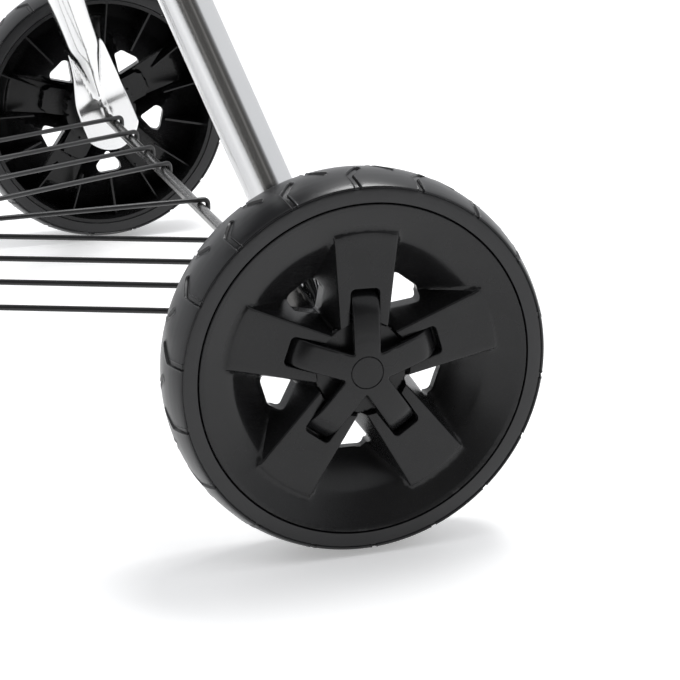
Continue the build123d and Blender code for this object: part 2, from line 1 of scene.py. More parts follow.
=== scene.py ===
"""Looks of the kettle barbecue: camera, studio, materials and the detailed pieces round the CAD frame.

Metres, +Z up. The origin is on the floor under the kettle's axis, and the axle runs along Y.
Wheels are drawn in millimetres about their own axis, then placed by wheel_place().
"""

import json
from math import atan2, cos, hypot, pi, radians, sin, sqrt, tan

import bpy
import numpy as np
from mathutils import Matrix, Vector
from mathutils.geometry import delaunay_2d_cdt


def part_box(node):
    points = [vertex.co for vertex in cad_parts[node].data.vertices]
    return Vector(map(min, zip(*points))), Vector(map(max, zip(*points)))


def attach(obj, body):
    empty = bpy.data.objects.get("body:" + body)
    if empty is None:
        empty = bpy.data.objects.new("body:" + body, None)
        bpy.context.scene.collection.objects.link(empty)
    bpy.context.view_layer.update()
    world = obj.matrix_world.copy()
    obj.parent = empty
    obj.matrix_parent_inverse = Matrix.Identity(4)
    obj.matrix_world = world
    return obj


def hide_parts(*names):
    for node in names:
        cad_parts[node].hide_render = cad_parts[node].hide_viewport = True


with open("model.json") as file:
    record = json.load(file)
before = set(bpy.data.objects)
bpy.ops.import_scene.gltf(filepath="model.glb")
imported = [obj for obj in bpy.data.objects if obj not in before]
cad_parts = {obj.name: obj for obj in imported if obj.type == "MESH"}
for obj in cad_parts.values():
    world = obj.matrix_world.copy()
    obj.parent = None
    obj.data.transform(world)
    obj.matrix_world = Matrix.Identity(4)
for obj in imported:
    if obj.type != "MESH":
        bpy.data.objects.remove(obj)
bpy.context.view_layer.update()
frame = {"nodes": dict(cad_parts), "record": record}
nodes = frame["nodes"]
MM = 0.001

# ------------------------------------------------------------------ camera and studio

CAMERA_PLACE = (-0.0206, -1.2726, 0.4462)
CAMERA_YAW = 17.57  # degrees from +Y towards +X
CAMERA_PITCH = 18.482  # degrees below the horizon
CAMERA_ROLL = -0.774
CAMERA_LENS = 114.92  # mm, on a 36 mm sensor
FLOOR_SIDE = 60.0
FLOOR_PAPER = (0.93, 0.93, 0.93, 1)
FLOOR_GLOW = 0.33  # lifts the paper to white where only part of the room lights it
PAPER_BEHIND = 1.05  # brightness of the background that the camera sees
KEY_PLACE, KEY_AIM = (0.86, 0.22, 2.1), (0.29, -0.31, 0.05)
KEY_SIZE, KEY_WATTS = (0.85, 0.6), 27
DARK_CORNER = (-0.31, -0.996, 0.27)
# Room colour against the cosine of the angle from the dark corner
ROOM = [(0.62, (0.84, 0.85, 0.87)), (0.72, (0.30, 0.30, 0.31)), (0.80, (0.105, 0.104, 0.103)),
        (0.90, (0.085, 0.083, 0.080)), (0.945, (0.22, 0.215, 0.21)), (0.975, (0.085, 0.083, 0.080))]


def make_camera():
    yaw, pitch, roll = radians(CAMERA_YAW), radians(CAMERA_PITCH), radians(CAMERA_ROLL)
    ahead = Vector((sin(yaw) * cos(pitch), cos(yaw) * cos(pitch), -sin(pitch)))
    level = Vector((cos(yaw), -sin(yaw), 0))
    upright = level.cross(ahead)
    right = level * cos(roll) + upright * sin(roll)
    up = upright * cos(roll) - level * sin(roll)
    data = bpy.data.cameras.new("camera")
    data.lens = CAMERA_LENS
    data.sensor_width = 36.0
    data.clip_start = 0.05
    camera = bpy.data.objects.new("camera", data)
    turn = Matrix((right, up, -ahead)).transposed().to_4x4()
    camera.matrix_world = Matrix.Translation(CAMERA_PLACE) @ turn
    bpy.context.scene.collection.objects.link(camera)
    bpy.context.scene.camera = camera


def room_ramp(tree):
    """Colour ramp of the room round its dark corner."""
    ramp = tree.nodes.new("ShaderNodeValToRGB")
    ramp.color_ramp.interpolation = "EASE"
    stops = ramp.color_ramp.elements
    stops[0].position, stops[0].color = ROOM[0][0], (*ROOM[0][1], 1)
    stops[1].position, stops[1].color = ROOM[-1][0], (*ROOM[-1][1], 1)
    for position, colour in ROOM[1:-1]:
        stops.new(position).color = (*colour, 1)
    return ramp


def make_world():
    """White room, with the darker corner behind the photographer that the chrome mirrors."""
    world = bpy.data.worlds.new("studio")
    world.use_nodes = True
    tree = world.node_tree
    tree.nodes.clear()
    add = tree.nodes.new
    link = tree.links.new
    where = add("ShaderNodeTexCoord")
    aim = add("ShaderNodeVectorMath")
    aim.operation = "DOT_PRODUCT"
    aim.inputs[1].default_value = Vector(DARK_CORNER).normalized()
    ramp = room_ramp(tree)
    room = add("ShaderNodeBackground")
    paper = add("ShaderNodeBackground")
    paper.inputs["Color"].default_value = (1, 1, 1, 1)
    paper.inputs["Strength"].default_value = PAPER_BEHIND
    seen = add("ShaderNodeLightPath")
    mix = add("ShaderNodeMixShader")
    out = add("ShaderNodeOutputWorld")
    link(where.outputs["Generated"], aim.inputs[0])
    link(aim.outputs["Value"], ramp.inputs["Fac"])
    link(ramp.outputs["Color"], room.inputs["Color"])
    link(seen.outputs["Is Camera Ray"], mix.inputs["Fac"])
    link(room.outputs[0], mix.inputs[1])
    link(paper.outputs[0], mix.inputs[2])
    link(mix.outputs[0], out.inputs["Surface"])
    bpy.context.scene.world = world
    bpy.context.scene.view_settings.view_transform = "Standard"


def area_light(name, place, target, size, watts):
    data = bpy.data.lights.new(name, "AREA")
    data.shape = "RECTANGLE"
    data.size, data.size_y = size
    data.energy = watts
    lamp = bpy.data.objects.new(name, data)
    lamp.location = place
    lamp.rotation_mode = "QUATERNION"
    lamp.rotation_quaternion = (Vector(target) - Vector(place)).to_track_quat("-Z", "Y")
    lamp.visible_camera = False
    bpy.context.scene.collection.objects.link(lamp)


def make_floor():
    mesh = bpy.data.meshes.new("floor")
    half = FLOOR_SIDE / 2
    corners = [(-half, -half, 0), (half, -half, 0), (half, half, 0), (-half, half, 0)]
    mesh.from_pydata(corners, [], [(0, 1, 2, 3)])
    floor = bpy.data.objects.new("floor", mesh)
    bpy.context.scene.collection.objects.link(floor)
    paint = new_material("floor_paper")
    shader = paint.node_tree.nodes["shader"]
    shader.inputs["Base Color"].default_value = FLOOR_PAPER
    shader.inputs["Emission Color"].default_value = (1, 1, 1, 1)
    shader.inputs["Emission Strength"].default_value = FLOOR_GLOW
    shader.inputs["Roughness"].default_value = 0.35
    shader.inputs["Specular IOR Level"].default_value = 0.25
    mesh.materials.append(paint)


# ------------------------------------------------------------------ materials
# One finish for each material slot of the record, and the axle's, whose dark base colour is painted shade.
# Colours drift from dark to light over patches (per metre), roughness over a fine grain (per metre) that also
# has a real depth in metres.

FINISHES = {
    "chrome_steel": dict(dark=(0.71, 0.715, 0.72), light=(0.76, 0.76, 0.76), metallic=1.0, rough=(0.12, 0.17),
                         patch=14, grain=900, depth=2e-7),
    # the axle's dark base colour is painted shade: the shadow and dark reflections it lies in under the rack
    "axle_painted_shade": dict(dark=(0.20, 0.20, 0.20), light=(0.30, 0.295, 0.29), metallic=1.0, rough=(0.20, 0.30),
                       patch=90, grain=1500, depth=2e-6),
    "zinc_steel": dict(dark=(0.48, 0.49, 0.50), light=(0.66, 0.66, 0.65), metallic=1.0, rough=(0.28, 0.42),
                       patch=160, grain=2400, depth=8e-6),
    "tyre_rubber": dict(dark=(0.006, 0.006, 0.007), light=(0.010, 0.010, 0.011), rough=(0.28, 0.35),
                        patch=40, grain=3000, depth=3e-6),
    "wheel_plastic": dict(dark=(0.007, 0.007, 0.0075), light=(0.012, 0.012, 0.0125), rough=(0.22, 0.28),
                          patch=30, grain=3500, depth=3e-6, gloss=0.33),
    "bush_plastic": dict(dark=(0.66, 0.65, 0.60), light=(0.75, 0.74, 0.70), rough=(0.4, 0.5),
                         patch=80, grain=3000, depth=8e-6),
    "black_wire": dict(dark=(0.008, 0.008, 0.008), light=(0.013, 0.013, 0.014), rough=(0.30, 0.40),
                       patch=60, grain=1400, depth=2e-6),
    "enamel_black": dict(dark=(0.004, 0.004, 0.005), light=(0.008, 0.008, 0.009), rough=(0.05, 0.10),
                         patch=12, grain=260, depth=1e-5, gloss=0.2, coat=1.0),
    "plated_wire": dict(dark=(0.60, 0.60, 0.60), light=(0.74, 0.74, 0.73), metallic=1.0, rough=(0.22, 0.34),
                        patch=50, grain=1500, depth=8e-6),
    "nylon_black": dict(dark=(0.012, 0.012, 0.013), light=(0.020, 0.020, 0.021), rough=(0.45, 0.58),
                        patch=60, grain=2600, depth=2e-5),
    "aluminium": dict(dark=(0.62, 0.63, 0.64), light=(0.74, 0.74, 0.75), metallic=1.0, rough=(0.25, 0.40),
                      patch=20, grain=700, depth=8e-6),
}
RAMP_START, RAMP_END = 0.3, 0.7  # the part of the noise's range that a finish is spread over


def new_material(name):
    made = bpy.data.materials.new(name)
    made.use_nodes = True
    tree = made.node_tree
    tree.nodes.clear()
    shader = tree.nodes.new("ShaderNodeBsdfPrincipled")
    shader.name = "shader"
    out = tree.nodes.new("ShaderNodeOutputMaterial")
    tree.links.new(shader.outputs[0], out.inputs["Surface"])
    return made


def noise(tree, scale, detail):
    """Noise over the object's own coordinates, in cycles per metre."""
    where = tree.nodes.new("ShaderNodeTexCoord")
    texture = tree.nodes.new("ShaderNodeTexNoise")
    texture.inputs["Scale"].default_value = scale
    texture.inputs["Detail"].default_value = detail
    texture.inputs["Roughness"].default_value = 0.55
    tree.links.new(where.outputs["Object"], texture.inputs["Vector"])
    return texture.outputs["Fac"]


def spread(tree, source, low, high):
    """Maps a texture onto low..high."""
    ranged = tree.nodes.new("ShaderNodeMapRange")
    ranged.inputs["From Min"].default_value = RAMP_START
    ranged.inputs["From Max"].default_value = RAMP_END
    ranged.inputs["To Min"].default_value = low
    ranged.inputs["To Max"].default_value = high
    tree.links.new(source, ranged.inputs["Value"])
    return ranged.outputs["Result"]


def tint(tree, source, dark, light):
    """Maps a texture onto dark..light."""
    ramp = tree.nodes.new("ShaderNodeValToRGB")
    ramp.color_ramp.elements[0].position = RAMP_START
    ramp.color_ramp.elements[0].color = (*dark, 1)
    ramp.color_ramp.elements[1].position = RAMP_END
    ramp.color_ramp.elements[1].color = (*light, 1)
    tree.links.new(source, ramp.inputs["Fac"])
    return ramp.outputs["Color"]


def bump(tree, shader, source, depth):
    """Bump of a real depth in metres."""
    node = tree.nodes.new("ShaderNodeBump")
    node.inputs["Distance"].default_value = depth
    tree.links.new(source, node.inputs["Height"])
    tree.links.new(node.outputs["Normal"], shader.inputs["Normal"])


def surface(name, dark, light, rough, patch, grain, depth, metallic=0.0, gloss=0.5, coat=0.0):
    """Material of one finish."""
    made = new_material(name)
    tree = made.node_tree
    shader = tree.nodes["shader"]
    shader.inputs["Metallic"].default_value = metallic
    shader.inputs["Specular IOR Level"].default_value = gloss
    drift = noise(tree, patch, 4.0)
    tree.links.new(tint(tree, drift, dark, light), shader.inputs["Base Color"])
    fine = noise(tree, grain, 2.0)
    tree.links.new(spread(tree, fine, *rough), shader.inputs["Roughness"])
    if coat:
        shader.inputs["Coat Weight"].default_value = coat
        shader.inputs["Coat Roughness"].default_value = 0.05
    bump(tree, shader, fine, depth)
    return made


def make_materials():
    return {name: surface(name, **finish) for name, finish in FINISHES.items()}


def dress_nodes(finishes):
    """CAD nodes take their record's finish; the axle's plating is duller than the legs', and its dark base
    colour is painted shade for the shadow and dark reflections it lies in.
    """
    for part in frame["record"]["subparts"]:
        mesh = nodes[part["node"]].data
        mesh.materials.clear()
        mesh.materials.append(finishes["axle_painted_shade" if part["node"] == "axle" else part["material_slot"]])


# ------------------------------------------------------------------ plane outlines and relief meshes


def arc(radius, start, end, step):
    """Points along an arc about the origin; angles in radians."""
    count = max(2, round(abs(end - start) * radius / step))
    return [(radius * cos(a), radius * sin(a)) for a in np.linspace(start, end, count + 1)]


def run(start, end, step):
    """Points along a straight run, both ends included."""
    count = max(1, round(hypot(end[0] - start[0], end[1] - start[1]) / step))
    return [tuple(p) for p in np.linspace(start, end, count + 1)]


def rounded(corners, radii, step=0.8):
    """Closed outline of a polygon with an arc at each corner, as points about a step apart."""
    arcs = []
    for i, (corner, radius) in enumerate(zip(corners, radii)):
        here = Vector(corner)
        back = (Vector(corners[i - 1]) - here).normalized()
        on = (Vector(corners[(i + 1) % len(corners)]) - here).normalized()
        half = back.angle(on) / 2
        centre = here + (back + on).normalized() * (radius / sin(half))
        reach = radius / tan(half)
        first, last = here + back * reach - centre, here + on * reach - centre
        turn = first.angle_signed(last)
        count = max(2, round(abs(turn) * radius / step))
        arcs.append([tuple(centre + Matrix.Rotation(-turn * k / count, 2) @ first) for k in range(count + 1)])
    outline = []
    for i, points in enumerate(arcs):
        outline += points[:-1] + run(points[-1], arcs[(i + 1) % len(arcs)][0], 2 * step)[:-1]
    return outline


def grown(outline, offset):
    """A counter-clockwise outline moved outwards."""
    moved = []
    for before, point, after in zip(outline[-1:] + outline[:-1], outline, outline[1:] + outline[:1]):
        along = (Vector(after) - Vector(before)).normalized()
        moved.append(tuple(Vector(point) + Vector((along.y, -along.x)) * offset))
    return moved


def distances(points, path):
    """Distance from each point to a polyline."""
    points, path = np.asarray(points, float), np.asarray(path, float)
    best = np.full(len(points), 1e9)
    for start, end in zip(path[:-1], path[1:]):
        along = end - start
        share = np.clip((points - start) @ along / max(along @ along, 1e-12), 0, 1)
        best = np.minimum(best, np.hypot(*(points - start - share[:, None] * along).T))
    return best


def depth_in(points, outline):
    """Signed distance to a closed outline, negative inside."""
    points = np.asarray(points, float)
    closed = np.asarray(list(outline) + [outline[0]], float)
    inside = np.zeros(len(points), bool)
    x, y = points.T
    for (x0, y0), (x1, y1) in zip(closed[:-1], closed[1:]):
        if y0 != y1:
            crosses = ((y0 > y) != (y1 > y)) & (x < (x1 - x0) * (y - y0) / (y1 - y0) + x0)
            inside ^= crosses
    return np.where(inside, -1, 1) * distances(points, closed)


def triangulate(paths, spacing, inside, span):
    """Triangles whose edges follow the paths, with an even fill between, where inside(points) is true."""
    coords, edges = [], []
    for path in paths:
        first = len(coords)
        coords += [tuple(p) for p in path]
        edges += [(first + i, first + i + 1) for i in range(len(path) - 1)]
    (x0, y0), (x1, y1) = span
    rows = np.arange(y0, y1, spacing * 0.866)
    fill = [(x + (i % 2) * spacing / 2, y) for i, y in enumerate(rows) for x in np.arange(x0, x1, spacing)]
    fill = np.array(fill)
    clear = inside(fill)
    for path in paths:
        clear[clear] = distances(fill[clear], path) > 0.6 * spacing
    coords += [tuple(p) for p in fill[clear]]
    made = delaunay_2d_cdt([Vector(p) for p in coords], edges, [], 0, 1e-5)
    points = np.array([tuple(p) for p in made[0]])
    triangles = np.array([f for f in made[2] if len(f) == 3])
    return points, triangles[inside(points[triangles].mean(1))]


JOIN_CELLS = 500  # per millimetre; points in one cell are joined
CELL_SHIFT = 2.7183e-4  # keeps round coordinates off the borders between cells


def merged(points, triangles):
    """Joins points that lie on each other."""
    keys = np.round((points + CELL_SHIFT) * JOIN_CELLS).astype(np.int64)
    _, first, back = np.unique(keys, axis=0, return_index=True, return_inverse=True)
    triangles = back.reshape(-1)[triangles]
    whole = (triangles[:, 0] != triangles[:, 1]) & (triangles[:, 1] != triangles[:, 2])
    whole &= triangles[:, 0] != triangles[:, 2]
    return points[first], triangles[whole]


def unfolded(points, triangles, count):
    """A half sector that starts on the X axis, mirrored and turned into the whole disc with its heights."""
    all_points, all_triangles = [], []
    for i in range(count):
        for flip in (1, -1):
            angle = 2 * pi * i / count
            x, y = points[:, 0], flip * points[:, 1]
            facing = triangles if flip > 0 else triangles[:, ::-1]
            all_triangles.append(facing + len(points) * len(all_points))
            turned = np.c_[x * cos(angle) - y * sin(angle), x * sin(angle) + y * cos(angle)]
            all_points.append(np.c_[turned, points[:, 2:]])
    return merged(np.concatenate(all_points), np.concatenate(all_triangles))


def border_edges(triangles):
    """Directed edges that only one triangle has."""
    directed = np.concatenate([triangles[:, [0, 1]], triangles[:, [1, 2]], triangles[:, [2, 0]]])
    keys = np.sort(directed, axis=1)
    _, back, counts = np.unique(keys, axis=0, return_inverse=True, return_counts=True)
    return directed[counts[back.reshape(-1)] == 1]


def slab(points, triangles):
    """Closed shell over plane triangles, between the heights in the third and fourth columns."""
    count = len(points)
    vertices = np.concatenate([points[:, [0, 1, 2]], points[:, [0, 1, 3]]])
    walls = [(b, a, a + count, b + count) for a, b in border_edges(triangles)]
    faces = triangles.tolist() + (triangles[:, ::-1] + count).tolist() + walls
    return vertices, faces


def soft_max(a, b, blend):
    """The larger of two heights, rounded over a blend where they meet."""
    return (a + b + np.sqrt((a - b) ** 2 + blend**2)) / 2


def soft_min(a, b, blend):
    """The smaller of two heights, rounded over a blend where they meet."""
    return (a + b - np.sqrt((a - b) ** 2 + blend**2)) / 2


def step(value, start, end):
    """Smooth rise from 0 to 1 between start and end."""
    t = np.clip((value - start) / (end - start), 0, 1)
    return t * t * (3 - 2 * t)


def piece(name, vertices, faces, finish, body, replaced, slot, sharp=40, weighted=True):
    """A smooth-shaded object in metres that rides on a body and stands for the replaced nodes."""
    mesh = bpy.data.meshes.new(name)
    mesh.from_pydata([tuple(v) for v in vertices], [], faces)
    mesh.validate()
    mesh.shade_smooth()
    mesh.set_sharp_from_angle(angle=radians(sharp))
    mesh.materials.append(finish)
    made = bpy.data.objects.new(name, mesh)
    bpy.context.scene.collection.objects.link(made)
    if weighted:
        made.modifiers.new("weighted", "WEIGHTED_NORMAL").keep_sharp = True
    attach(made, body)
    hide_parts(*replaced)
    return made


# ------------------------------------------------------------------ wheels
# Millimetres, about the wheel's own axis: Z points outboard and the middle plane is at Z = 0.

SPOKES = 5
FIRST_SPOKE = {-1: 88.1, 1: 84.1}  # degrees, in each wheel's own frame
RIM_EDGE = 84.0
BARREL_INSIDE = 81.2
BARREL_END = -18.5
DISH_FOOT, DISH_FOOT_RISE, DISH_SLOPE = 65.0, 11.5, 0.437
LIP_RISE = 19.3
SPOKE_END, SPOKE_FACE = 69.0, 15.0
HOLLOW_DEPTH, HOLLOW_HALF = 0.35, 14  # shallow trough along a spoke's face
SPOKE_HALF, SPOKE_FLARE = 10.18, 0.0887  # half width at the axis, and its growth with radius
SPOKE_DRAFT, SPOKE_END_DRAFT = 3.3, 1.5
POCKET_SLOPE = 0.95
VALLEY_TOP, VALLEY_FALL = 10.3, 1.75
GAP_DEPTH = 2.5
WEB_FACE, WEB_BACK = -4.5, -12.0
HUB_RADIUS, HUB_FACE = 24.0, 11.5
VALLEY_RIB = 0.75  # half width of the rib from the hub to each hole
SLOT_END, SLOT_HALF, SLOT_FLOOR = 40.7, 7.4, 7.5
HOLE_NEAR, HOLE_FAR, HOLE_CORNER, HOLE_POINT = 30.2, 47.4, 4.0, 1.2
HOLE_LEAN = 37.5  # degrees between a hole's middle and its sides
SKIN = 2.4
BORE = 8.0
HUB_TUBE = [(6.05, -26.0), (11.6, -26.0), (12.0, -25.6), (13.4, -11.2), (6.05, -11.2)]
RIB_HALF = 0.75
SMALL_RIB_HALF = 0.7 * RIB_HALF
RIB_PROFILE = [(50.0, -9.5), (83.0, -9.5), (83.0, 15.0), (65.0, 10.2), (54.5, -0.5), (50.0, -4.6)]


def wheel_piece(name, side, vertices, faces, finishes, slot, replaced, **looks):
    """A piece drawn about the wheel's own axis, on the wheel whose side its name ends with."""
    body = f"wheel_{name.split('_')[-1]}"
    vertices = placed(vertices, wheel_place(side))
    return piece(name, vertices, faces, finishes[slot], body, replaced, slot, **looks)


def wheel_place(side):
    low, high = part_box("tyre_left" if side < 0 else "tyre_right")
    centre = (low + high) / 2
    turn = Matrix(((-side, 0, 0), (0, 0, side), (0, 1, 0))).to_4x4()
    spin = Matrix.Rotation(radians(FIRST_SPOKE[side]), 4, "Z")
    return Matrix.Translation(centre) @ turn @ spin @ Matrix.Scale(MM, 4)


def placed(vertices, matrix):
    matrix = np.array(matrix)
    return np.asarray(vertices) @ matrix[:3, :3].T + matrix[:3, 3]


def spoke_side(points):
    """Distance beyond a spoke's straight edge, negative inside the spoke."""
    return (points[:, 1] - SPOKE_HALF - SPOKE_FLARE * points[:, 0]) / sqrt(1 + SPOKE_FLARE**2)


def spoke_edge(offset):
    """A spoke's straight edge, moved outwards by an offset."""
    lean = sqrt(1 + SPOKE_FLARE**2)
    ends = []
    for x in (20.0, 76.0):
        ends.append((x - offset * SPOKE_FLARE / lean, SPOKE_HALF + SPOKE_FLARE * x + offset / lean))
    return run(*ends, 1.2)


def recess(offset):
    """Outline of the slot for one arm of the star cap, made larger by an offset."""
    half, end = SLOT_HALF + offset, SLOT_END + offset
    corners = [(10, -half), (end, -half), (end, half), (10, half)]
    return rounded(corners, [1.0, 2.4 + offset, 2.4 + offset, 1.0], 0.6)


def web_hole(offset=0.0):
    """Rounded triangle between two spokes, its point towards the hub, made larger by an offset."""
    lean = radians(HOLE_LEAN)
    near, far = HOLE_NEAR - offset / sin(lean), HOLE_FAR + offset
    half = (far - near) * tan(lean)
    radii = [HOLE_POINT + offset, HOLE_CORNER + offset, HOLE_CORNER + offset]
    outline = rounded([(near, 0), (far, -half), (far, half)], radii, 0.7)
    turn = Matrix.Rotation(pi / SPOKES, 2)
    return [tuple(turn @ Vector(p)) for p in outline]


def crease():
    """Where a pocket's outer wall meets the side of a spoke."""
    path = []
    lean = sqrt(1 + SPOKE_FLARE**2)
    along, across = Vector((1, SPOKE_FLARE)) / lean, Vector((-SPOKE_FLARE, 1)) / lean
    for radius in np.linspace(50.5, DISH_FOOT, 14):
        wall = DISH_FOOT_RISE - POCKET_SLOPE * (DISH_FOOT - radius)
        base = Vector((0, SPOKE_HALF)) + across * ((SPOKE_FACE - wall) / SPOKE_DRAFT)
        reach = along.dot(base)
        path.append(tuple(base + along * (-reach + sqrt(reach**2 - base.length_squared + radius**2))))
    return path


def shell_outside(points, radius):
    """Dish, pocket walls, spokes and the ribs to the holes, blended together."""
    dish = soft_min(DISH_FOOT_RISE + (radius - DISH_FOOT) * DISH_SLOPE, LIP_RISE, 0.5)
    base = soft_min(dish, DISH_FOOT_RISE - POCKET_SLOPE * (DISH_FOOT - radius), 0.9)
    hollow = HOLLOW_DEPTH * (1 - np.clip(points[:, 1] / HOLLOW_HALF, 0, 1) ** 2)
    side = SPOKE_FACE - SPOKE_DRAFT * spoke_side(points)
    end = SPOKE_FACE - SPOKE_END_DRAFT * (radius - SPOKE_END)
    spoke = soft_min(soft_min(SPOKE_FACE - hollow, side, 1.1), end, 1.4)
    off_valley = np.abs(points[:, 0] * sin(pi / SPOKES) - points[:, 1] * cos(pi / SPOKES))
    valley = VALLEY_TOP - VALLEY_FALL * (radius - HUB_RADIUS) - 5 * np.clip(off_valley - VALLEY_RIB, 0, None)
    return soft_max(soft_max(soft_max(base, spoke, 1.8), valley, 0.3), WEB_FACE, 1.0)


def hub_outside(points, radius, height):
    """Adds the gap round the hub drum, the drum's face and the slots for the star cap's arms."""
    in_gap = np.clip(1 - np.abs(radius - HUB_RADIUS - 0.3) / 0.3, 0, 1)
    height = height - GAP_DEPTH * in_gap * (height < SPOKE_FACE - 2)
    in_recess = np.minimum(radius - HUB_RADIUS, depth_in(points, recess(0)))
    floor = HUB_FACE - (HUB_FACE - SLOT_FLOOR) * step(radius, HUB_RADIUS - 1, HUB_RADIUS + 2)
    height = height - 0.4 * np.clip(1 - in_recess / 0.5, 0, 1) ** 2 * (height > HUB_FACE + 1)
    in_drum = np.clip((HUB_RADIUS + 0.1 - radius) / 0.3, 0, 1)
    height = np.where(radius < HUB_RADIUS + 0.1, height + (HUB_FACE - height) * in_drum, height)
    sunk = np.minimum(height, floor)
    return height + (sunk - height) * np.clip(-in_recess / 0.25, 0, 1)


def rim_outside(points):
    """Height of the rim's outboard face over each point of a half sector."""
    radius = np.hypot(points[:, 0], points[:, 1])
    height = hub_outside(points, radius, shell_outside(points, radius))
    near_hole = np.clip(1 - depth_in(points, web_hole()) / 0.9, 0, 1)
    height = height - 0.5 * near_hole**2
    return height - 0.8 * np.clip((radius - RIM_EDGE + 0.6) / 0.6, 0, 1) ** 2


def rim_inside(points):
    """Height of the rim's inboard face: the same shell, one skin thinner, down to the web and the barrel."""
    radius = np.hypot(points[:, 0], points[:, 1])
    dish = DISH_FOOT_RISE + (radius - DISH_FOOT) * DISH_SLOPE - 1.09 * SKIN
    base = np.minimum(dish, DISH_FOOT_RISE - POCKET_SLOPE * (DISH_FOOT - radius) - 1.65 * SKIN)
    side = SPOKE_FACE - SPOKE_DRAFT * (spoke_side(points) + SKIN)
    end = SPOKE_FACE - SPOKE_END_DRAFT * (radius - SPOKE_END) - 1.8 * SKIN
    spoke = np.minimum(np.minimum(SPOKE_FACE - SKIN, side), end)
    height = soft_max(soft_max(base, spoke, 0.5), WEB_BACK, 0.6)
    box = depth_in(points, recess(SKIN))
    height = np.where(box < 0, np.minimum(height, SLOT_FLOOR - SKIN), height)
    height = np.where(radius < HUB_RADIUS + SKIN, WEB_BACK, height)
    return np.where(radius > BARREL_INSIDE + 0.1, BARREL_END, height)


def sector_rays(sector):
    """Edges of the half sector, and two lines down the side of the rib along its far edge."""
    rays = [run((BORE, 0), (RIM_EDGE, 0), 1.2)]
    rays.append([(r * cos(sector), r * sin(sector)) for r in np.linspace(BORE, RIM_EDGE, 62)])
    rib_side = Vector((sin(sector), -cos(sector)))
    for offset in (VALLEY_RIB, VALLEY_RIB + 0.4):
        rays.append([(r * cos(sector) + rib_side.x * offset, r * sin(sector) + rib_side.y * offset)
                     for r in np.linspace(HUB_RADIUS, 31, 8)])
    return rays


def rim_paths(sector):
    """Lines of the rim's relief that the triangles have to follow."""
    near_hub = [HUB_RADIUS + offset for offset in (-1, -0.25, 0.05, 0.3, 0.6, SKIN, SKIN + 0.2)]
    near_dish = [DISH_FOOT - 0.6, DISH_FOOT, DISH_FOOT + 0.6, SPOKE_END - 0.5, SPOKE_END, SPOKE_END + 0.8]
    near_edge = [BARREL_INSIDE, BARREL_INSIDE + 0.2, RIM_EDGE - 0.6, RIM_EDGE - 0.3, RIM_EDGE]
    circles = [BORE, *near_hub, *near_dish, *near_edge]
    paths = sector_rays(sector) + [arc(r, 0, sector, 1.3) for r in circles]
    paths += [spoke_edge(offset) for offset in (-SKIN, -0.8, -0.3, 0.0, 0.25, 0.6)]
    paths.append(crease())
    for offset in (-0.25, 0.0, 0.25, 0.5, SKIN, SKIN + 0.2):
        outline = recess(offset)
        paths.append([p for p in outline + outline[:1] if p[0] > HUB_RADIUS - 4])
    for offset in (0.0, 0.3, 0.9):
        outline = web_hole(offset)
        paths.append(outline + outline[:1])
    return paths


def make_rim(name, side, finishes):
    sector = pi / SPOKES

    def inside(points):
        radius = np.hypot(points[:, 0], points[:, 1])
        angle = np.arctan2(points[:, 1], points[:, 0])
        within = (radius > BORE) & (radius < RIM_EDGE) & (angle > 0) & (angle < sector)
        return within & (depth_in(points, web_hole()) > 0)

    points, triangles = triangulate(rim_paths(sector), 1.3, inside, ((BORE, 0), (RIM_EDGE, 52)))
    heights = np.c_[points, rim_outside(points), rim_inside(points)]
    vertices, faces = slab(*unfolded(heights, triangles, SPOKES))
    replaced = [name.replace("_shell", "")]
    return wheel_piece(name, side, vertices, faces, finishes, "wheel_plastic", replaced)


def lathe(profile, count=72):
    """Closed ring turned from a closed profile of (radius, height)."""
    vertices, faces, size = [], [], len(profile)
    for i in range(count):
        angle = 2 * pi * i / count
        vertices += [(r * cos(angle), r * sin(angle), z) for r, z in profile]
        for j in range(size):
            a, b = i * size + j, i * size + (j + 1) % size
            c, d = ((i + 1) % count) * size + j, ((i + 1) % count) * size + (j + 1) % size
            faces.append((a, c, d, b))
    return vertices, faces


def rib(profile, half, angle):
    """Flat plate on edge, its profile of (radius, height) turned to an angle."""
    vertices = []
    for y in (-half, half):
        for r, z in profile:
            vertices.append((r * cos(angle) - y * sin(angle), r * sin(angle) + y * cos(angle), z))
    size = len(profile)
    faces = [tuple(range(size)), tuple(range(2 * size - 1, size - 1, -1))]
    faces += [(j, j + size, (j + 1) % size + size, (j + 1) % size) for j in range(size)]
    return vertices, faces


def make_rim_back(name, side, finishes):
    """Hub tube and the ribs on the rim's inboard side."""
    vertices, faces = lathe(HUB_TUBE)
    sector = 2 * pi / (3 * SPOKES)
    for i in range(3 * SPOKES):
        half = RIB_HALF if i % 3 == 0 else SMALL_RIB_HALF
        more, sides = rib(RIB_PROFILE, half, pi / SPOKES + i * sector)
        faces += [tuple(a + len(vertices) for a in face) for face in sides]
        vertices = vertices + more
    return wheel_piece(name, side, vertices, faces, finishes, "wheel_plastic", (), weighted=False)


CAP_END, CAP_HALF, CAP_NOTCH = 39.7, 7.0, 6.65  # an arm's end, half width, and half width at the notches
CAP_CROWN, CAP_UNDERSIDE, CAP_THICKNESS = 21.0, 17.0, 3.0
CAP_DOME = 0.0034  # fall of the crown per square millimetre of radius
CAP_BEND, CAP_BEND_RUN, CAP_DROP = 29.0, 10.7, 5.8  # an arm bends down into its slot from this radius on
RING_RADIUS, RING_GROOVE = 8.1, 0.35  # a groove round the middle, as deep as half its width


